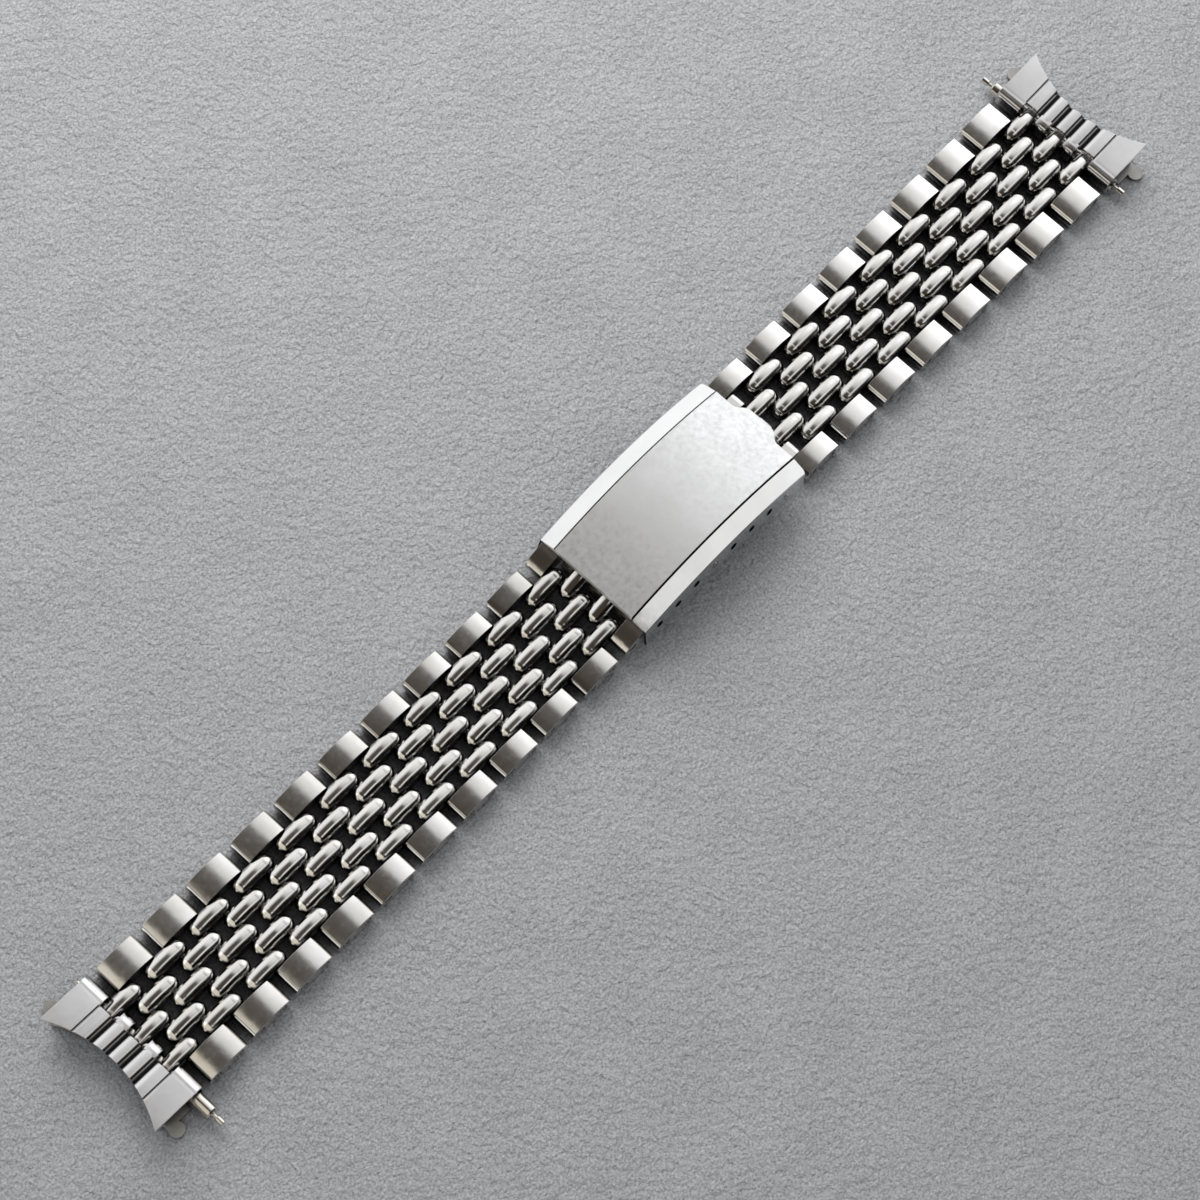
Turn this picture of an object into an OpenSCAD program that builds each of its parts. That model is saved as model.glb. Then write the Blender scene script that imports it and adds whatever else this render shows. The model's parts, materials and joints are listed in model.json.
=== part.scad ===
// Bead-and-link steel watch bracelet, laid out straight on a table, clasp closed.
// X runs along the bracelet, Y across it and Z up. Sizes are in millimetres.
// Rows of outer links (A) and rows of loose beads (B) take turns on the same pins.

/* [Bracelet] */
// Distance from one row of outer links to the next
pitch = 6.8; // [6:0.1:7.6]
// Width of the first link row at each end of the bracelet
end_width = 18; // [16:0.1:20]
// Width of the rows next to the clasp
clasp_row_width = 15.95; // [14:0.05:16]
// Width of the first row beyond the clasp, short half
short_row_width = 16; // [14:0.1:18]
// Rows of outer links between the end link and the clasp, long half
long_rows = 12; // [12:1:12]
// Rows of outer links between the clasp and the end link, short half
short_rows = 8; // [8:1:8]
// Thickness of an outer link
link_thick = 2.8; // [2.4:0.1:3.2]
// Length of an outer link
link_length = 5.95; // [5.2:0.05:6.1]
// Radius of an outer link's rolled ends
link_end_r = 1.33; // [0.8:0.01:1.4]
// Radius of the gently domed top of an outer link
dome_r = 8; // [5:0.5:20]

/* [Beads] */
// Distance between bead columns
column = 2.2; // [2:0.05:2.4]
// Width of one bead
bead_width = 2.06; // [1.7:0.02:2.1]
// Half the height of a bead at its middle
bead_r = 1.38; // [1.3:0.02:1.4]
// Radius of a bead's ends about its pins
bead_end_r = 1.2; // [1.2:0.02:1.28]
// Radius of a bead's rounded top across its width
bead_crown = 1.2; // [1.1:0.02:1.2]
// Radius of a bead's arched back along its length
bead_arch = 8; // [6:0.5:14]
// Radius of the pins through the rows
pin_r = 0.45; // [0.35:0.05:0.55]
// Gap between a pin and the bead that turns on it
running_gap = 0.05; // [0.02:0.01:0.1]

/* [End links] */
// Radius of the watch case that the end link meets
case_r = 18; // [15:0.5:20]
// Distance from the spring bar to the middle of the case-side curve
end_reach = 3.55; // [3:0.05:5]
// Height of the top over the spring bar, at the rolled edge
end_top = 1.9; // [1.85:0.05:2.1]
// Radius of the edge rolled round the spring bar
roll_r = 1.28; // [1.22:0.02:1.36]
// Radius of the bend from the rolled edge to the top
knee_r = 0.7; // [0.5:0.05:0.9]
// Thickness of the pressed sheet
sheet = 0.35; // [0.25:0.05:0.45]
// Slope of the top towards the case, in degrees
end_slope = 7; // [0:1:10]
// Depth of the valleys between the ridges
valley = 0.45; // [0.2:0.05:0.6]

// Thickness of the liner under the shell
liner = 0.3; // [0.2:0.05:0.4]
// Depth of the liner's underside below the spring bar
liner_drop = 1.2; // [1.1:0.05:1.3]
// Radius of the liner's ears
ear_r = 0.95; // [0.7:0.05:1.2]
// How far the middles of the ears stand out past the shell's sides
ear_out = 0.8; // [0.4:0.1:1.2]

/* [Spring bars] */
// Radius of the barrel
bar_r = 0.86; // [0.65:0.05:0.9]
// Length of the barrel
bar_length = 19.6; // [18:0.1:20.5]
// Radius of the spring-loaded tip
tip_r = 0.4; // [0.3:0.05:0.5]
// How far a tip stands out of the barrel
tip_out = 1.6; // [1.5:0.1:2]
// Length of a tip beyond its groove
tip_nose = 0.9; // [0.6:0.05:1]
// Radius of the groove in a tip
groove_r = 0.22; // [0.18:0.01:0.24]
// Sideways shift of the bar in the long half's end link
long_bar_shift = -1.8; // [-2.4:0.1:2.4]
// Sideways shift of the bar in the short half's end link
short_bar_shift = 0.6; // [-2.4:0.1:2.4]

/* [Clasp] */
// Radius of the arch, at the top of the cover
arch_r = 44; // [40:1:60]
// Height of the cover's highest point over the table
arch_top = 7.9; // [7.6:0.1:9]
// Cover's length on the side of the long half, from the highest point
cover_back = 14.35; // [13:0.05:15]
// Cover's length to its shoulders, from the highest point
cover_front = 13.4; // [13:0.05:13.6]
// How far the thumb tongue runs past the shoulders
tongue = 1.25; // [0.5:0.05:1.3]
// Half the tongue's width at the shoulders
tongue_half = 3.5; // [3:0.1:4]
// Width of the tongue's curved flanks
tongue_flank = 1.8; // [1.2:0.1:2.5]
// Gap between the cover's walls and the rows inside it
side_gap = 0.12; // [0.05:0.01:0.3]
// Distance from the highest point to the lip hinge
lip_reach = 9.75; // [9:0.05:10.5]
// Distance from the highest point back to the fold hinge
fold_reach = 13.15; // [12.5:0.05:13.5]
// Distance from the highest point to the first pin of the short half
knuckle_reach = 15.45; // [15:0.05:16]
// Width of the raised middle panel
panel_width = 12.1; // [11:0.1:13]
// Thickness of the cover's top
cover_thick = 0.7; // [0.5:0.05:0.8]
// Thickness of the cover's side walls
wall = 0.35; // [0.3:0.05:0.45]
// Depth of the side walls below the cover's top
wall_depth = 3.95; // [3.4:0.05:4]
// How far the side walls lean out from top to foot
wall_lean = 0.25; // [0:0.05:0.3]
// Depth of the fine groove along each side of the panel
groove = 0.22; // [0.1:0.02:0.3]
// Drop of the bevels from the panel to the side walls
bevel_drop = 0.85; // [0.6:0.05:0.85]
// Number of adjustment holes in each side wall, the last one holds the hinge pin
holes = 8; // [8:1:8]
// Distance between the adjustment holes
hole_pitch = 3.15; // [2.8:0.05:3.2]
// Depth of the adjustment holes below the cover's top
bar_depth = 2.45; // [2.4:0.05:2.5]
// Radius of the adjustment holes
side_hole_r = 0.5; // [0.4:0.02:0.56]
// Thickness of the two folding blades
blade = 0.7; // [0.5:0.05:0.75]
// Width of the two folding blades
blade_width = 10.8; // [8:0.1:10.8]
// Gap between the rows and the blade under them
row_gap = 0.3; // [0.2:0.05:0.4]
// Gap between the closed blades
blade_gap = 0.15; // [0.1:0.05:0.2]
// Width of the upper blade's leg at the fold hinge
leg_width = 4.8; // [3:0.1:6]
// Radius of the fold hinge's pin
fold_pin_r = 0.4; // [0.3:0.02:0.44]
// Radius of the knuckles at the lip hinge and at the short half
knuckle_r = 0.95; // [0.85:0.05:1]
// Width of each of the three knuckles that carry the short half
knuckle_width = 1.8; // [1.5:0.05:2.1]

/* [Hidden] */
$fn = 96;
half = pitch / 2;
row_z = link_thick / 2;
field = 5 * column;
pin_bore = pin_r + running_gap;
bar_bore = bar_r + running_gap;
cover_width = clasp_row_width + 2 * (side_gap + wall);
arch_z = arch_top - arch_r;
hole_r = arch_r - bar_depth;
// The blades run under the rows, one above the other.
upper_r = hole_r - row_z - row_gap - blade / 2;
lower_r = upper_r - blade - blade_gap;
hinge_angle = asin(lip_reach / hole_r);
hole_step = 2 * asin(hole_pitch / 2 / hole_r);
adjust_angle = hinge_angle - 4 * hole_step;
chord = 2 * asin(half / 2 / hole_r);
adjust_z = arch_z + hole_r * cos(adjust_angle);
last_pin = 2 * long_rows + 1;
slack = [17.5, 9, 5, 2];
// A part held fast in a hole has this gap all round.
fit = 0.01;

// Slope of the long half's rows, counted from the adjustment bar: on the arch, coming down, flat.
function slope(i) =
    i <= 3 ? -adjust_angle + chord * (i - 0.5)
    : i <= 7 ? slack[i - 4]
    : i == 8 ? asin((pin_height(7) - row_z) / half)
    : 0;
function reach(i) = i == 0 ? hole_r * sin(adjust_angle) : reach(i - 1) - half * cos(slope(i));
function pin_along(i) = arch_x + reach(i);
function pin_height(i) = i == 0 ? adjust_z : i > 8 ? row_z : pin_height(i - 1) - half * sin(slope(i));
// The arch stands where it puts the two spring bars at equal distances from the origin.
arch_x = -(reach(last_pin) + knuckle_reach + 2 * short_rows * half) / 2;
adjust_x = arch_x + hole_r * sin(adjust_angle);
lip_x = arch_x + lip_reach;
lip_z = arch_z + hole_r * cos(hinge_angle);
fold_x = arch_x - fold_reach;
fold_z = arch_z + sqrt(pow((upper_r + lower_r) / 2, 2) - fold_reach * fold_reach);
fold_r = min(blade - 0.02, fold_z - 0.01);
lip_pin_r = side_hole_r - fit;
// The beads at the end links turn between strips of the rolled edge.
strip = 2 * column - bead_width - 0.7;
end_y = end_width / 2;
tip_x = end_reach + case_r - sqrt(case_r * case_r - end_y * end_y);
knuckle_x = arch_x + knuckle_reach;
// Row widths step down evenly to the rows next to the clasp.
function long_width(k) = clasp_row_width + (end_width - clasp_row_width) * max(0, 9 - k) / 8;
function short_width(k) = short_row_width + (end_width - short_row_width) * k / 8;

// A round bar along Y, centred.
module across(r, length) {
    rotate([90, 0, 0]) cylinder(r = r, h = length, center = true);
}

// Half of a round-topped section, from its axis out, with its sides cut to a bead's width.
module crown_section(r) {
    intersection() {
        union() {
            translate([r - bead_crown, 0]) circle(r = bead_crown);
            if (r > bead_crown) translate([0, -bead_crown]) square([r - bead_crown, 2 * bead_crown]);
        }
        translate([0, -bead_width / 2]) square([r + 1, bead_width]);
    }
}

// Disc with a round-topped rim, its axis along Y.
module crown_disc(r) {
    rotate([90, 0, 0]) rotate_extrude() crown_section(r);
}

// One rice-grain bead from pin to pin, bored at both ends: arched back and belly, rounded ends.
module bead(y, near_bore, far_bore) {
    translate([0, y, 0]) difference() {
        union() {
            intersection() {
                translate([0, -bead_width, -bead_r]) cube([half, 2 * bead_width, 2 * bead_r]);
                translate([half / 2, 0, bead_r - bead_arch]) crown_disc(bead_arch);
                translate([half / 2, 0, bead_arch - bead_r]) crown_disc(bead_arch);
            }
            for (x = [0, half]) translate([x, 0, 0]) crown_disc(bead_end_r);
        }
        if (near_bore > 0) across(near_bore, bead_width + 1);
        if (far_bore > 0) translate([half, 0, 0]) across(far_bore, bead_width + 1);
    }
}

// Side view of an outer link: rolled ends, gently domed top.
module link_side() {
    x = link_length / 2 - link_end_r;
    intersection() {
        union() {
            for (s = [-1, 1]) translate([s * x, 0]) circle(r = link_end_r);
            square([2 * x, 2 * row_z], center = true);
        }
        translate([0, row_z - dome_r]) circle(r = dome_r);
    }
}

// One outer link, with a shallow seat round each pin end.
module outer_link(width) {
    difference() {
        translate([half / 2, width / 2, 0]) rotate([90, 0, 0])
            linear_extrude((width - field) / 2) link_side();
        for (x = [0, half]) translate([x, width / 2, 0]) across(pin_r + 0.12, 0.3);
    }
}

// Row of two outer links and two beads, held together by its own two pins.
module row_a(width) {
    color("silver") union() {
        outer_link(width);
        mirror([0, 1, 0]) outer_link(width);
        bead(column, 0, 0);
        bead(-column, 0, 0);
        for (x = [0, half]) translate([x, 0, 0]) across(pin_r, width - 0.16);
    }
}

// Row of three beads that turn on the pins of the rows beside them.
module row_b(near_bore, far_bore) {
    color("gainsboro") for (y = [-2, 0, 2]) bead(y * column, near_bore, far_bore);
}

module long_place(i) {
    translate([pin_along(i), 0, pin_height(i)]) rotate([0, -slope(i), 0]) children();
}

module short_place(j) {
    translate([knuckle_x + half * (j - 1), 0, row_z]) children();
}

module long_row_a(k) {
    long_place(26 - 2 * k) row_a(long_width(k));
}

module long_row_b(k) {
    long_place(25 - 2 * k) row_b(k == 0 ? bar_bore : pin_bore, k == long_rows ? bar_bore : pin_bore);
}

module short_row_a(k) {
    short_place(2 * k - 1) row_a(short_width(k));
}

module short_row_b(k) {
    short_place(2 * k) row_b(pin_bore, k == short_rows ? bar_bore : pin_bore);
}

// Rolled edge of the end link round the spring bar, as a side view.
module roll_side() {
    bend = [knee_r - roll_r, end_top - knee_r];
    difference() {
        union() {
            intersection() {
                circle(r = roll_r);
                translate([-roll_r, -roll_r]) square([roll_r + 0.2, roll_r]);
            }
            translate([-roll_r, 0]) square([roll_r, bend[1]]);
            translate(bend) circle(r = knee_r);
            translate([bend[0], 0]) square([-bend[0], end_top]);
        }
        circle(r = roll_r - sheet);
        translate([sheet - roll_r, 0]) square([2 * roll_r, bend[1]]);
        translate(bend) circle(r = knee_r - sheet);
        translate([bend[0], 0]) square([2 * roll_r, end_top - sheet]);
    }
}

// Depth of the pressed top at a distance y from the middle: rounded ridges, four valleys, two creases.
function dip(y) =
    (abs(y) < column / 2 ? valley * pow(abs(y) / (column / 2), 2.8)
    : abs(y) < 1.5 * column ? valley * pow(abs(abs(y) - column) / (column / 2), 2.8)
    : abs(y) < 2 * column ? valley * pow((2 * column - abs(y)) / (column / 2), 2.8)
    : 0)
    + 0.14 * max(0, 1 - abs(abs(y) - 2.5 * column) / 0.2);

// Pressed sheet of the end link: flats at both sides, ridges in line with the bead columns.
module end_sheet() {
    step = 0.1;
    n = ceil((field / 2 + 0.5) / step);
    rim = [for (i = [-n:n]) i * step];
    top = concat([[-end_y, 0]], [for (y = rim) [y, -dip(y)]], [[end_y, 0]]);
    under = [for (i = [len(top) - 1:-1:0]) [top[i][0], top[i][1] - sheet]];
    translate([0, 0, end_top]) rotate([0, -end_slope, 0]) translate([0.05, 0, 0])
        rotate([90, 0, 90]) linear_extrude(tip_x + 1) polygon(concat(top, under));
}

// Pressed shell of an end link, with the spring bar's axis at the origin and the case at +X.
module end_shell() {
    side = end_y - field / 2 - 0.06;
    slot = bead_width + 0.24;
    color("silver") difference() {
        union() {
            end_sheet();
            for (m = [0, 1]) mirror([0, m, 0]) {
                translate([0, end_y, 0]) rotate([90, 0, 0]) linear_extrude(side) roll_side();
                translate([0, column + strip / 2, 0]) rotate([90, 0, 0]) linear_extrude(strip) roll_side();
                translate([0, end_y - side, end_top - sheet]) cube([0.3, side, sheet]);
                translate([0, column - strip / 2, end_top - sheet]) cube([0.3, strip, sheet]);
            }
        }
        for (y = [-2, 0, 2]) translate([-1, y * column - slot / 2, 0]) cube([1.3, slot, 2 * end_top]);
        translate([end_reach + case_r, 0, -5]) cylinder(r = case_r, h = 15, $fn = 180);
    }
}

// Flat plate under the shell, with two rounded ears that stand out at the sides.
module end_liner() {
    low = -liner_drop;
    back = 0.5;
    // The plate starts clear of the beads on the spring bar.
    near = sqrt(max(0, bead_r * bead_r - pow(liner_drop - liner, 2))) + 0.1;
    w = end_y - back;
    ear_x = end_reach + 0.25;
    tab_top = end_top - sheet - 0.05 + 1.25 * tan(end_slope);
    color("darkgray") difference() {
        union() {
            translate([near, -w, low]) cube([tip_x - near, 2 * w, liner]);
            for (m = [0, 1]) mirror([0, m, 0]) {
                translate([near, w - 0.6, low]) cube([ear_x - near, ear_out + 0.6, liner]);
                translate([ear_x, end_y + ear_out, low]) cylinder(r = ear_r, h = liner);
                translate([ear_x - 0.8, w - 0.2, low]) cube([1.6, ear_out + 0.7, liner]);
                translate([near + 0.15, w - liner, low]) cube([3.1, liner, tab_top - low]);
            }
        }
        translate([end_reach - back + case_r, 0, -5]) cylinder(r = case_r, h = 15, $fn = 180);
    }
}

// Hollow barrel of a spring bar, its ends drawn in round the tips.
module bar_barrel() {
    color("lightgray") rotate([90, 0, 0]) difference() {
        union() {
            cylinder(r = bar_r, h = bar_length - 0.4, center = true);
            for (s = [0, 1]) mirror([0, 0, s]) translate([0, 0, bar_length / 2 - 0.21])
                cylinder(r1 = bar_r, r2 = bar_r - 0.14, h = 0.21);
        }
        cylinder(r = 0.6, h = bar_length - 0.7, center = true);
        cylinder(r = tip_r + 0.03, h = bar_length + 1, center = true);
    }
}

// One spring-loaded tip: a piston head inside the barrel, a neck with a groove outside.
module bar_tip() {
    color("gray") rotate([-90, 0, 0]) difference() {
        union() {
            translate([0, 0, bar_length / 2 - 1.2]) cylinder(r = 0.57, h = 0.8);
            translate([0, 0, bar_length / 2 - 0.5]) cylinder(r = tip_r, h = 0.5 + tip_out);
        }
        translate([0, 0, bar_length / 2 + 0.1]) difference() {
            cylinder(r = 1, h = tip_out - tip_nose - 0.1);
            translate([0, 0, -0.1]) cylinder(r = groove_r, h = 2);
        }
    }
}

// Turns an end-link part to the long half's end or the short half's end.
module long_end() {
    translate([pin_along(last_pin), 0, row_z]) mirror([1, 0, 0]) children();
}

module short_end() {
    translate([knuckle_x + 2 * short_rows * half, 0, row_z]) children();
}

module long_bar() {
    translate([pin_along(last_pin), long_bar_shift, row_z]) children();
}

module short_bar() {
    translate([knuckle_x + 2 * short_rows * half, short_bar_shift, row_z]) children();
}

// Section of the cover from its middle to one side, as distance from the arch's axis against width.
module cover_section() {
    p = panel_width / 2;
    w = cover_width / 2;
    polygon([
        [arch_r, 0], [arch_r, p], [arch_r - groove, p + 0.04], [arch_r - groove, p + 0.14],
        [arch_r - 0.1, p + 0.18], [arch_r - bevel_drop, w - 0.17], [arch_r - bevel_drop - 0.08, w - 0.1],
        [arch_r - wall_depth, w + wall_lean], [arch_r - wall_depth, w + wall_lean - wall],
        [arch_r - bevel_drop - 0.1, w - wall], [arch_r - cover_thick, p - 0.2], [arch_r - cover_thick, 0]
    ]);
}

// A ring about the arch's axis, cut from its side section.
module arch_ring() {
    translate([arch_x, 0, arch_z]) rotate([-90, 0, 0]) rotate_extrude($fn = 180) children();
}

// Outline of the cover from above: straight at the back, thumb tongue at the front.
module cover_outline() {
    w = cover_width / 2;
    front = [for (i = [-16:16])
        let (y = i * tongue_half / 16, t = min(1, (tongue_half - abs(y)) / tongue_flank))
        [cover_front + tongue * (0.4 * (1 - cos(180 * t)) + 0.2 * (1 - pow(y / tongue_half, 2))), y]];
    polygon(concat(
        [[-cover_back, -w - 1], [-cover_back, w + 1], [cover_front - 0.7, w + 1],
         [cover_front - 0.7, w + wall_lean], [cover_front - 0.2, w - 0.18], [cover_front, w - 0.6]],
        [for (i = [32:-1:0]) front[i]],
        [[cover_front, -w + 0.6], [cover_front - 0.2, -w + 0.18], [cover_front - 0.7, -w - wall_lean],
         [cover_front - 0.7, -w - 1]]
    ));
}

module cover() {
    color("gainsboro") difference() {
        intersection() {
            union() {
                arch_ring() cover_section();
                arch_ring() mirror([0, 1]) cover_section();
            }
            translate([arch_x, 0, -2]) linear_extrude(14) cover_outline();
        }
        for (i = [0:holes - 1]) {
            a = hinge_angle - i * hole_step;
            translate([arch_x + hole_r * sin(a), 0, arch_z + hole_r * cos(a)])
                across(side_hole_r, cover_width + 2);
        }
    }
}

// Pin of the lip hinge, held in the last pair of side holes.
module lip_pin() {
    color("silver") translate([lip_x, 0, lip_z]) across(lip_pin_r, cover_width + 0.2);
}

// Bar that holds the long half in one pair of side holes.
module adjust_bar() {
    color("silver") translate([adjust_x, 0, adjust_z]) union() {
        across(bar_r, cover_width - 2 * wall - 0.5);
        across(side_hole_r - 0.06, cover_width + 0.2);
    }
}

// Side view of a band that follows the arch, between two distances from the highest point.
module band(r, from, to) {
    intersection() {
        translate([arch_x, arch_z]) difference() {
            circle(r = r + blade / 2, $fn = 180);
            circle(r = r - blade / 2, $fn = 180);
        }
        translate([arch_x + from, 0]) square([to - from, 12]);
    }
}

module blade_plate(width) {
    translate([0, width / 2, 0]) rotate([90, 0, 0]) linear_extrude(width) children();
}

// Upper blade: from the fold hinge under the rows, then straight to the lip hinge.
module upper_blade() {
    bw = blade_width / 2;
    rise = atan2(lip_z - arch_z - upper_r, lip_reach);
    back = fold_reach - 0.85;
    color("lightgray") difference() {
        union() {
            blade_plate(blade_width) band(upper_r, -back, 0.02);
            translate([arch_x, 0, arch_z + upper_r]) rotate([0, -rise, 0])
                translate([0, -bw, -blade / 2]) cube([lip_reach, blade_width, blade]);
            translate([lip_x, 0, lip_z]) across(knuckle_r, blade_width);
            blade_plate(leg_width) band(upper_r, -fold_reach, -back + 0.1);
            translate([fold_x, 0, fold_z]) across(fold_r, leg_width);
        }
        translate([lip_x, 0, lip_z]) across(lip_pin_r + running_gap, cover_width);
        translate([fold_x, 0, fold_z]) across(fold_pin_r + running_gap, cover_width);
    }
}

// Lower blade: along the arch, then level to three knuckles that carry the short half.
module lower_blade() {
    bw = blade_width / 2;
    // The two outer legs stand either side of the upper blade's leg.
    leg_y = leg_width / 2 + 0.2;
    back = fold_reach - 1.05;
    level = 11.45;
    color("lightgray") difference() {
        union() {
            blade_plate(blade_width) band(lower_r, -back, level + 0.15);
            translate([arch_x + level - 0.15, -bw, row_z - knuckle_r])
                cube([knuckle_reach - bead_r - 0.15 - level, blade_width, blade]);
            for (y = [-2, 0, 2]) translate([0, y * column, 0]) {
                translate([knuckle_x - 2.45, -knuckle_width / 2, row_z - knuckle_r])
                    cube([2.45, knuckle_width, 2 * knuckle_r]);
                translate([knuckle_x, 0, row_z]) across(knuckle_r, knuckle_width);
            }
            for (s = [-1, 1]) {
                translate([0, s * (bw + leg_y) / 2, 0]) {
                    blade_plate(bw - leg_y) band(lower_r, -fold_reach, -back + 0.1);
                    translate([fold_x, 0, fold_z]) across(fold_r, bw - leg_y);
                }
            }
        }
        translate([knuckle_x, 0, row_z]) across(pin_bore, cover_width);
        translate([fold_x, 0, fold_z]) across(fold_pin_r + fit, cover_width);
    }
}

// Pin of the fold hinge, held in the lower blade.
module fold_pin() {
    color("silver") translate([fold_x, 0, fold_z]) across(fold_pin_r, blade_width - 0.1);
}

cover();  // clasp_cover
upper_blade();  // clasp_upper_blade
lower_blade();  // clasp_lower_blade
lip_pin();  // clasp_lip_pin
fold_pin();  // clasp_fold_pin
adjust_bar();  // clasp_adjust_bar
long_row_b(12);  // long_beads_12
long_row_a(12);  // long_links_12
long_row_b(11);  // long_beads_11
long_row_a(11);  // long_links_11
long_row_b(10);  // long_beads_10
long_row_a(10);  // long_links_10
long_row_b(9);  // long_beads_09
long_row_a(9);  // long_links_09
long_row_b(8);  // long_beads_08
long_row_a(8);  // long_links_08
long_row_b(7);  // long_beads_07
long_row_a(7);  // long_links_07
long_row_b(6);  // long_beads_06
long_row_a(6);  // long_links_06
long_row_b(5);  // long_beads_05
long_row_a(5);  // long_links_05
long_row_b(4);  // long_beads_04
long_row_a(4);  // long_links_04
long_row_b(3);  // long_beads_03
long_row_a(3);  // long_links_03
long_row_b(2);  // long_beads_02
long_row_a(2);  // long_links_02
long_row_b(1);  // long_beads_01
long_row_a(1);  // long_links_01
long_row_b(0);  // long_beads_00
short_row_a(1);  // short_links_01
short_row_b(1);  // short_beads_01
short_row_a(2);  // short_links_02
short_row_b(2);  // short_beads_02
short_row_a(3);  // short_links_03
short_row_b(3);  // short_beads_03
short_row_a(4);  // short_links_04
short_row_b(4);  // short_beads_04
short_row_a(5);  // short_links_05
short_row_b(5);  // short_beads_05
short_row_a(6);  // short_links_06
short_row_b(6);  // short_beads_06
short_row_a(7);  // short_links_07
short_row_b(7);  // short_beads_07
short_row_a(8);  // short_links_08
short_row_b(8);  // short_beads_08
long_end() end_shell();  // long_end_shell
long_end() end_liner();  // long_end_liner
long_bar() bar_barrel();  // long_bar_barrel
long_bar() bar_tip();  // long_bar_tip_left
long_bar() mirror([0, 1, 0]) bar_tip();  // long_bar_tip_right
short_end() end_shell();  // short_end_shell
short_end() end_liner();  // short_end_liner
short_bar() bar_barrel();  // short_bar_barrel
short_bar() bar_tip();  // short_bar_tip_left
short_bar() mirror([0, 1, 0]) bar_tip();  // short_bar_tip_right
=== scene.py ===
"""Steel watch bracelet on a sheet of grey paper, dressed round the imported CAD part."""

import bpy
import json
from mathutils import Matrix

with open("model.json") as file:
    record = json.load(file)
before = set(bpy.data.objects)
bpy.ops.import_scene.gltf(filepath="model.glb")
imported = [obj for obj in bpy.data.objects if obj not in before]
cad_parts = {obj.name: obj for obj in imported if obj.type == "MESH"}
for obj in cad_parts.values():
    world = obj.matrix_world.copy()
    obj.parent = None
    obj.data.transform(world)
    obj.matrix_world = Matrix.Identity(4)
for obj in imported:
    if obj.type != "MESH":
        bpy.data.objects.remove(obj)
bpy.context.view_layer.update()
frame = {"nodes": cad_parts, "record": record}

import json

import bpy
from mathutils import Matrix, Vector

MM = 0.001

# Sizes of the part that the finishes follow, in millimetres, the first four from its middle
PANEL = 6.05  # edge of the clasp cover's middle panel
COVER_SIDE = 7.8  # inner face of the cover's side walls
OUTER_LINK = 5.45  # inner side of the outer links
END = 78.0  # spring bars
COLUMN = 2.2  # from one column of beads to the next
ROLL = 1.3  # from a spring bar to the outside of the edge rolled round it

# Base colours of the dirt and painted shade in corners and gaps, and of the painted shadow on the
# paper under the bracelet
DIRT_AND_SHADE = (0.012, 0.011, 0.010)
SHADE = (0.02, 0.02, 0.02)

# How far the dirt and painted shade reach out of corners, and the painted shadow out from under the
# bracelet, in millimetres
DIRT_AND_SHADE_REACH = 1.3
SHADE_REACH = 4.0


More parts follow.
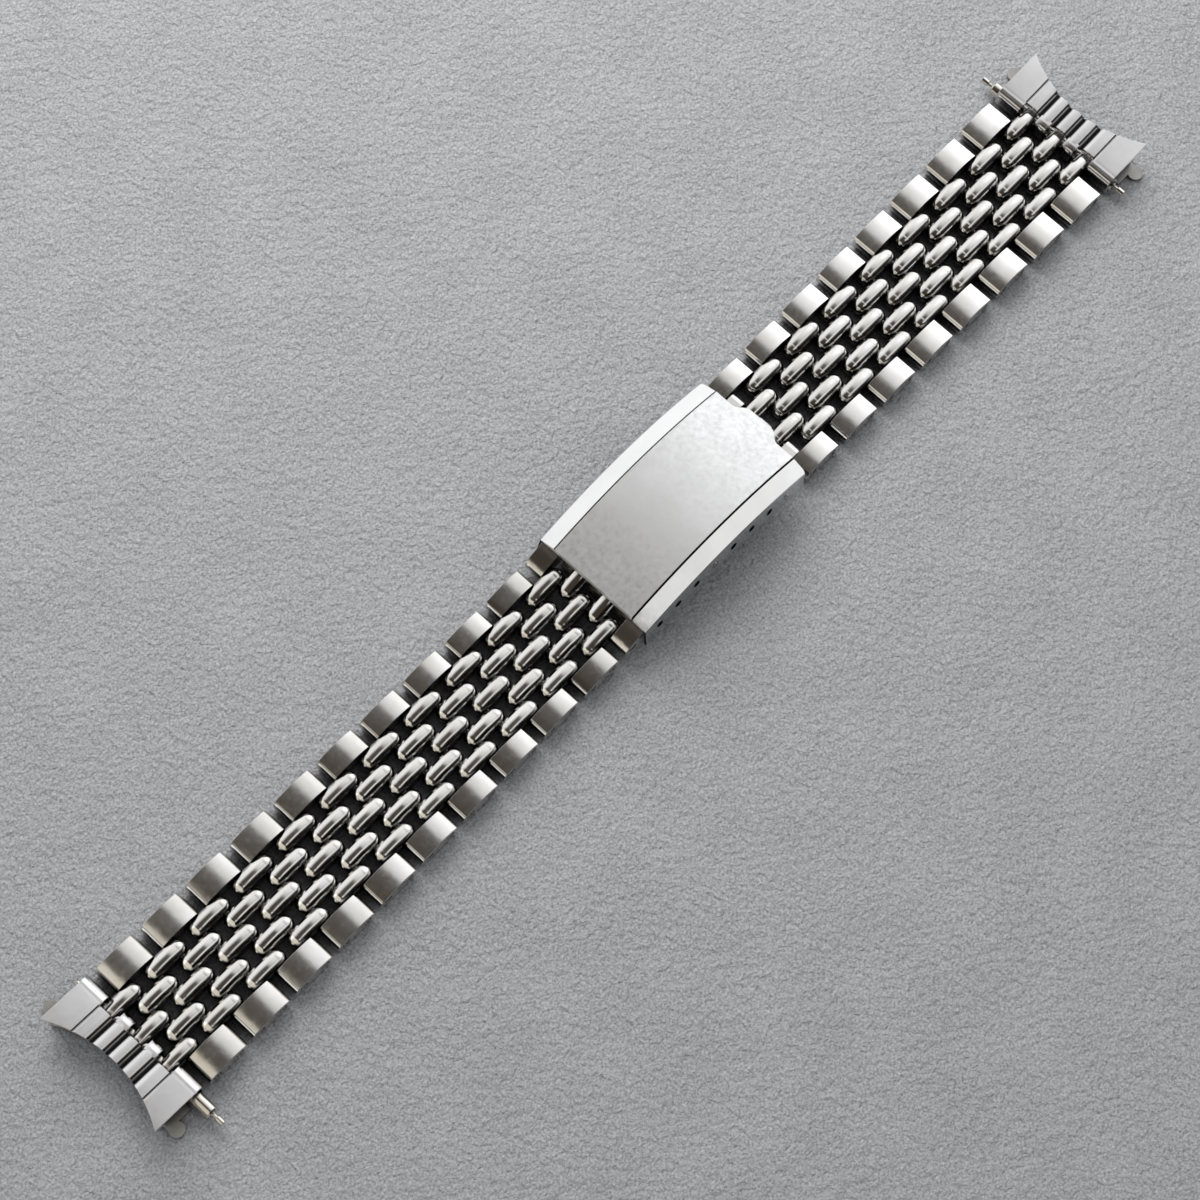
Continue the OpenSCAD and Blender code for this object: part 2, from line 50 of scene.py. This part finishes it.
# Shader helpers
class Graph:
    """A node tree, written as calls."""

    def __init__(self, tree):
        self.tree = tree

    def add(self, kind, **props):
        node = self.tree.nodes.new(kind)
        for key, value in props.items():
            setattr(node, key, value)
        return node

    def put(self, socket, value):
        """Sets a socket, or links it where the value is another node's output."""
        if isinstance(value, bpy.types.NodeSocket):
            self.tree.links.new(value, socket)
        else:
            socket.default_value = value

    def place(self, scale=(1, 1, 1), turn=0.0):
        """The point on the object in millimetres, times scale and turned about Z by radians."""
        coord = self.add("ShaderNodeTexCoord")
        mapping = self.add("ShaderNodeMapping")
        mapping.inputs["Scale"].default_value = [s / MM for s in scale]
        mapping.inputs["Rotation"].default_value[2] = turn
        self.put(mapping.inputs["Vector"], coord.outputs["Object"])
        return mapping.outputs["Vector"]

    def noise(self, scale, detail=3.0, size=(1, 1, 1), rough=0.5, turn=0.0):
        """Noise with about scale times size features in a millimetre."""
        node = self.add("ShaderNodeTexNoise")
        self.put(node.inputs["Vector"], self.place(size, turn))
        node.inputs["Scale"].default_value = scale
        node.inputs["Detail"].default_value = detail
        node.inputs["Roughness"].default_value = rough
        return node.outputs["Fac"]

    def span(self, value, lo, hi, to_lo=0.0, to_hi=1.0, smooth=False):
        """Maps a value from one span to another, kept inside it."""
        kind = "SMOOTHSTEP" if smooth else "LINEAR"
        node = self.add("ShaderNodeMapRange", interpolation_type=kind)
        self.put(node.inputs["Value"], value)
        limits = {"From Min": lo, "From Max": hi, "To Min": to_lo, "To Max": to_hi}
        for name, number in limits.items():
            self.put(node.inputs[name], number)
        return node.outputs["Result"]

    def math(self, op, a, b=0.0):
        node = self.add("ShaderNodeMath", operation=op)
        self.put(node.inputs[0], a)
        self.put(node.inputs[1], b)
        return node.outputs[0]

    def times(self, a, b):
        return self.math("MULTIPLY", a, b)

    def plus(self, a, b):
        return self.math("ADD", a, b)

    def split(self, vector, letter):
        node = self.add("ShaderNodeSeparateXYZ")
        self.put(node.inputs[0], vector)
        return node.outputs[letter]

    def away(self, letter):
        """Distance from the part's middle plane along an axis, in millimetres."""
        return self.math("ABSOLUTE", self.split(self.place(), letter))

    def normal(self, letter):
        """How far the surface faces along an axis, from -1 to 1."""
        return self.split(self.add("ShaderNodeTexCoord").outputs["Normal"], letter)

    def facing(self, letter):
        """How far the surface faces along an axis, either way, from 0 to 1."""
        return self.math("ABSOLUTE", self.normal(letter))

    def mix(self, fac, a, b):
        """Mixes two colours."""
        node = self.add("ShaderNodeMix", data_type="RGBA")
        self.put(node.inputs[0], fac)
        for socket, value in zip((node.inputs[6], node.inputs[7]), (a, b)):
            self.put(socket, (*value, 1) if isinstance(value, tuple) else value)
        return node.outputs[2]

    def blend(self, fac, a, b):
        """Mixes two numbers."""
        node = self.add("ShaderNodeMix", data_type="FLOAT")
        for socket, value in zip((node.inputs[0], node.inputs[2], node.inputs[3]), (fac, a, b)):
            self.put(socket, value)
        return node.outputs[0]

    def bump(self, height, strength, depth_mm, normal):
        node = self.add("ShaderNodeBump")
        self.put(node.inputs["Height"], height)
        self.put(node.inputs["Strength"], strength)
        node.inputs["Distance"].default_value = depth_mm * MM
        self.put(node.inputs["Normal"], normal)
        return node.outputs["Normal"]


def new_material(name):
    """A material with its graph and its surface node."""
    mat = bpy.data.materials.new(name)
    mat.use_nodes = True
    return mat, Graph(mat.node_tree), mat.node_tree.nodes["Principled BSDF"]


def steel(name, light, dark, polished=0.15, satin=0.25, satin_here=None, edge=0.05, grime_and_shade=0.92,
          brushed=0.3, painted_shade=None, sag=None):
    """Worn steel: satin where satin_here is 1, polished elsewhere, dirt and painted shade in the
    corners, soft edges.

    light and dark are the ends of its drifting colour, polished and satin are roughnesses, edge is
    the radius of its edges in millimetres, grime_and_shade is the share of the colour lost in the
    corners to dirt and painted shade, and brushed is the strength of the satin's grain. satin_here
    and painted_shade take the graph and give a number from 0 to 1: painted_shade is 1 where the metal
    is painted nearly black as shade. sag gives the height of a slight curve, in millimetres.
    """
    mat, g, surface = new_material(name)
    here = satin_here(g) if satin_here else 0.0
    drift = g.span(g.noise(0.22, 3), 0.35, 0.65)
    colour = g.mix(drift, dark, light)
    # Dirt and painted shade: the colour darkens toward near black in corners and gaps, and wholly
    # where the painted-shade mask is 1
    corner = g.add("ShaderNodeAmbientOcclusion", samples=6)
    corner.inputs["Distance"].default_value = DIRT_AND_SHADE_REACH * MM
    clear_of_dirt_and_shade = g.span(corner.outputs["AO"], 0.32, 0.82, 1 - grime_and_shade, 1.0)
    if painted_shade:
        clear_of_dirt_and_shade = g.times(clear_of_dirt_and_shade, g.span(painted_shade(g), 0.0, 1.0, 1.0, 0.0))
    colour = g.mix(clear_of_dirt_and_shade, DIRT_AND_SHADE, colour)
    g.put(surface.inputs["Base Color"], colour)
    surface.inputs["Metallic"].default_value = 1.0

    # Worn patches and fine scratches change the roughness
    wear = g.noise(1.6, 6, rough=0.7)
    scratches = g.noise(1.0, 2, size=(0.5, 26, 26), rough=0.8, turn=0.5)
    base = g.blend(here, polished, satin)
    rough = g.times(base, g.span(wear, 0.3, 0.7, 0.8, 1.25))
    g.put(surface.inputs["Roughness"], g.plus(rough, g.span(scratches, 0.62, 0.8, 0.0, 0.12)))

    # Soft edges, a slight curve, waves in the sheet and the grain that brushing leaves along X
    soft = g.add("ShaderNodeBevel", samples=4)
    soft.inputs["Radius"].default_value = edge * MM
    grain = g.noise(1.0, 3, size=(0.4, 9, 9), rough=0.75)
    wavy = g.noise(0.55, 2)
    normal = soft.outputs["Normal"]
    if sag:
        normal = g.bump(sag(g), 1.0, 1.0, normal)
    normal = g.bump(wavy, 0.35, 0.05, normal)
    normal = g.bump(grain, g.times(here, brushed), 0.004, normal)
    g.put(surface.inputs["Normal"], normal)
    return mat


# Finishes: where each surface is satin
def outer_links(g):
    """Satin on the outer links' tops, up to the rolled ends; the beads between them are polished."""
    side = g.span(g.away("Y"), OUTER_LINK - 0.03, OUTER_LINK + 0.03)
    return g.times(side, g.span(g.facing("X"), 0.30, 0.35, 1.0, 0.0))


def bead_flank_shade(g):
    """Painted shade on the beads' -Y flanks, low down between the beads."""
    return g.span(g.normal("Y"), -0.8, -0.5, 0.9, 0.0, smooth=True)


def long_lean(g):
    """The long half's rows lean about 3 degrees toward their end of the bracelet."""
    slope = 0.055
    return g.times(g.math("MINIMUM", g.split(g.place(), "X"), 0.0), slope)


def cover_panel(g):
    """Satin on the clasp cover's middle panel, polished on its bevels and side walls."""
    return g.span(g.facing("Y"), 0.1, 0.2, 1.0, 0.0)


def cover_shade(g):
    """Painted shade: dark in the cover's -Y groove, some in the +Y one, black in the side holes, and
    darker on the side walls as a painted reflection of the shaded paper.
    """
    y = g.split(g.place(), "Y")
    near = g.times(g.span(y, -PANEL - 0.24, -PANEL - 0.19),
                   g.span(y, -PANEL - 0.01, -PANEL + 0.03, 1.0, 0.0))
    far = g.times(g.span(y, PANEL, PANEL + 0.02), g.span(y, PANEL + 0.12, PANEL + 0.16, 1.0, 0.0))
    hole = g.times(g.span(g.away("Y"), COVER_SIDE - 0.1, COVER_SIDE + 0.1),
                   g.span(g.facing("Y"), 0.1, 0.2, 1.0, 0.0))
    far_shade, wall_shade = 0.45, 0.28
    wall = g.span(g.facing("Y"), 0.75, 0.9, 0.0, wall_shade)
    return g.math("MAXIMUM", g.plus(g.plus(near, hole), g.times(far, far_shade)), wall)


def end_top(g):
    """Satin on the end link's top, polished on its rolled edge and down the sides of its ridges."""
    return g.span(g.facing("Z"), 0.955, 0.98)


def from_valley(g):
    """Distance from the nearest of the four valleys between the end link's ridges, in millimetres."""
    ridge = g.math("ABSOLUTE", g.math("SUBTRACT", g.away("Y"), COLUMN))
    return g.math("ABSOLUTE", g.math("SUBTRACT", ridge, COLUMN / 2))


def end_valley_shade(g):
    """Painted shade in the four valleys between the end link's ridges."""
    return g.span(from_valley(g), 0.0, 0.4, 0.85, 0.0, smooth=True)


def end_sag(g):
    """Rounds the end link's top: down to the case, down to the rows, and across each ridge."""
    def curve(distance, bend):
        return g.times(g.times(distance, distance), -bend)

    # Where the top starts to curve down to the rows, and where it folds, outward of the spring bar
    curve_from, fold_from, fold_slope = 1.0, 0.3, 0.26
    to_case = g.math("MAXIMUM", g.math("SUBTRACT", g.away("X"), END), 0.0)
    to_rows = g.span(g.away("X"), END - ROLL, END + curve_from, ROLL + curve_from, 0.0)
    fold = g.span(g.away("X"), END - ROLL, END + fold_from, ROLL + fold_from, 0.0)
    off_crest = g.span(from_valley(g), 0.0, COLUMN / 2, COLUMN / 2, 0.0)
    height = g.plus(curve(to_case, 0.5 / 60), curve(to_rows, 0.08))
    height = g.plus(height, g.times(fold, -fold_slope))
    return g.plus(height, curve(off_crest, 0.18))


def everywhere(g):
    """Satin all over."""
    return 1.0


# One material for each material slot that the part's record names
finishes = {
    "bead_polish": steel(
        "bead_polish", (0.80, 0.79, 0.77), (0.72, 0.70, 0.67), painted_shade=bead_flank_shade, sag=long_lean),
    "link_satin": steel(
        "link_satin", (0.79, 0.78, 0.765), (0.71, 0.69, 0.66), polished=0.10, satin=0.19,
        satin_here=outer_links, sag=long_lean),
    "cover_satin": steel(
        "cover_satin", (0.87, 0.87, 0.87), (0.83, 0.83, 0.83), polished=0.13, satin=0.55,
        satin_here=cover_panel, edge=0.1, painted_shade=cover_shade),
    "blade_steel": steel(
        "blade_steel", (0.78, 0.77, 0.75), (0.70, 0.69, 0.67), satin=0.22, satin_here=everywhere),
    "end_satin": steel(
        "end_satin", (0.75, 0.745, 0.75), (0.68, 0.675, 0.68), polished=0.14, satin=0.33,
        satin_here=end_top, edge=0.1, brushed=0.12, painted_shade=end_valley_shade, sag=end_sag),
    "liner_steel": steel(
        "liner_steel", (0.46, 0.445, 0.42), (0.34, 0.33, 0.31), satin=0.42, satin_here=everywhere),
    "pin_steel": steel(
        "pin_steel", (0.72, 0.69, 0.64), (0.60, 0.57, 0.52), polished=0.17, grime_and_shade=0.6),
}
for part in frame["record"]["subparts"]:
    for slot in frame["nodes"][part["node"]].material_slots:
        slot.material = finishes[part["material_slot"]]

# Floor: a sheet of grey paper, a hair below the part
bpy.ops.mesh.primitive_plane_add(size=3.0, location=(0, 0, -0.02 * MM))
floor = bpy.context.object
floor.name = "paper"
mat, g, surface = new_material("paper")
cloud = g.noise(0.12, 3)
dimples = g.noise(1.15, 2, (1.0, 0.8, 1.0), 0.5, 0.5)
fibre = g.noise(3.2, 5, (0.6, 1.0, 1.0), 0.75, 0.6)
specks = g.noise(3.3, 2, rough=0.85)
# The shares of the fibre, the clouds and the specks in the paper's tone come to 1.
tone = g.plus(g.times(g.span(fibre, 0.35, 0.65), 0.35), g.times(g.span(cloud, 0.3, 0.7), 0.1))
tone = g.plus(tone, g.times(g.span(specks, 0.36, 0.64), 0.55))
paper = g.mix(tone, (0.23, 0.234, 0.244), (0.66, 0.665, 0.68))
# Painted shadow: the paper darkens beneath the bracelet, where the bracelet keeps light off it
under = g.add("ShaderNodeAmbientOcclusion", samples=6)
under.inputs["Distance"].default_value = SHADE_REACH * MM
paper = g.mix(g.span(under.outputs["AO"], 0.12, 0.46), SHADE, paper)
g.put(surface.inputs["Base Color"], paper)
surface.inputs["Roughness"].default_value = 0.95
surface.inputs["Specular IOR Level"].default_value = 0.15
flat = g.add("ShaderNodeNewGeometry").outputs["Normal"]
g.put(surface.inputs["Normal"], g.bump(fibre, 0.9, 0.30, g.bump(dimples, 0.9, 0.8, flat)))
floor.data.materials.append(mat)

# Light: a room that brightens toward a window at +X and is dark on the low -Y side
world = bpy.data.worlds.new("room")
bpy.context.scene.world = world
world.use_nodes = True
g = Graph(world.node_tree)
background = world.node_tree.nodes["Background"]
direction = g.add("ShaderNodeTexCoord").outputs["Generated"]


def toward(x, y, z):
    """How far the view direction points along a given one, from -1 to 1."""
    node = g.add("ShaderNodeVectorMath", operation="DOT_PRODUCT")
    g.put(node.inputs[0], direction)
    node.inputs[1].default_value = Vector((x, y, z)).normalized()
    return node.outputs["Value"]


def level(value, stops):
    """A colour ramp over a value from -1 to 1."""
    ramp = g.add("ShaderNodeValToRGB")
    g.put(ramp.inputs["Fac"], g.span(value, -1, 1))
    for at, _ in stops[1:-1]:
        ramp.color_ramp.elements.new((at + 1) / 2)
    for element, (at, colour) in zip(ramp.color_ramp.elements, stops):
        element.position = (at + 1) / 2
        element.color = (*colour, 1)
    return ramp.outputs["Color"]


def above(letter, lo, hi):
    """1 where the view direction lies beyond hi along an axis, 0 below lo."""
    return g.span(g.split(direction, letter), lo, hi, smooth=True)


def below(letter, lo, hi):
    """0 where the view direction lies beyond hi along an axis, 1 below lo."""
    return g.span(g.split(direction, letter), lo, hi, 1.0, 0.0, smooth=True)


def cover(sky, mask, share, colour):
    """Puts something of one colour before the sky, where the mask is 1."""
    return g.mix(g.times(mask, share), sky, colour)


sky = level(toward(0.86, 0.20, 0.47), [
    (-1.0, (0.06, 0.052, 0.042)),
    (0.0, (0.12, 0.105, 0.088)),
    (0.2, (0.21, 0.195, 0.178)),
    (0.45, (0.43, 0.42, 0.405)),
    (0.63, (0.63, 0.625, 0.62)),
    (0.73, (0.84, 0.84, 0.84)),
    (0.85, (1.05, 1.055, 1.06)),
    (0.93, (1.36, 1.37, 1.39)),
    (1.0, (2.0, 2.02, 2.05)),
])
# The +Y side of the room is a pale wall
sky = cover(sky, above("Y", 0.35, 0.75), 0.85, (1.15, 1.155, 1.16))
# The room is dark on the side of -X and -Y
dark_side = g.times(below("X", 0.10, 0.22), below("Y", 0.26, 0.42))
sky = cover(sky, dark_side, 0.88, (0.045, 0.036, 0.028))
# A pale shelf beside it shows in the clasp's -Y bevel
shelf = g.times(g.times(above("Y", -0.62, -0.56), below("Y", -0.40, -0.34)), above("X", -0.36, -0.22))
sky = cover(sky, shelf, 0.9, (0.93, 0.93, 0.92))
# The metal mirrors these darker and lighter places, and all else is lit by an even pale room
mirrored = g.add("ShaderNodeLightPath").outputs["Is Glossy Ray"]
g.put(background.inputs["Color"], g.mix(mirrored, (0.52, 0.523, 0.532), sky))
low_side = g.plus(g.split(direction, "Y"), g.times(g.split(direction, "Z"), 0.9))
dim = g.span(low_side, -0.15, 0.08, 0.08, 1.0, smooth=True)
g.put(background.inputs["Strength"], g.blend(mirrored, 1.0, dim))


def soft_box(name, place, aim, size, watts, colour):
    """A rectangular lamp at a place, in metres, that faces a point."""
    data = bpy.data.lights.new(name, "AREA")
    data.shape = "RECTANGLE"
    data.size, data.size_y = size
    data.energy = watts
    data.color = colour
    obj = bpy.data.objects.new(name, data)
    bpy.context.scene.collection.objects.link(obj)
    obj.location = place
    obj.rotation_mode = "QUATERNION"
    obj.rotation_quaternion = (Vector(aim) - Vector(place)).to_track_quat("-Z", "Y")
    return obj


# The window lights the paper and doesn't show in the metal, where the sky stands for it
window = soft_box("window", (0.15, 0.24, 0.25), (0.02, 0.03, 0), (0.36, 0.32), 1.5, (1, 0.995, 0.985))
window.visible_glossy = False
# The card shows only in the metal, as the cream strip on each link's near end
card = soft_box("card", (-0.107, 0.01, 0.043), (-0.05, 0.01, 0.043), (0.12, 0.07), 0.0195,
                (1, 0.95, 0.83))
card.visible_camera = card.visible_diffuse = False

# Camera, fitted to points picked in the photo
FOCAL_PX, FRAME_PX, SENSOR_MM = 3400, 1200, 36.0
RIGHT = Vector((0.680867, -0.730602, 0.051386))
DOWN = Vector((-0.670221, -0.649813, -0.358534))
AHEAD = Vector((0.295337, 0.209674, -0.932101))
EYE_MM = Vector((-121.793, -83.766, 369.239))
cam_data = bpy.data.cameras.new("camera")
cam = bpy.data.objects.new("camera", cam_data)
bpy.context.scene.collection.objects.link(cam)
cam_data.sensor_width = SENSOR_MM
cam_data.lens = FOCAL_PX / FRAME_PX * SENSOR_MM
cam_data.clip_start, cam_data.clip_end = 0.01, 10
turn = Matrix((RIGHT, -DOWN, -AHEAD)).transposed().to_4x4()
cam.matrix_world = Matrix.Translation(EYE_MM * MM) @ turn
bpy.context.scene.camera = cam
bpy.context.scene.view_settings.view_transform = "Standard"
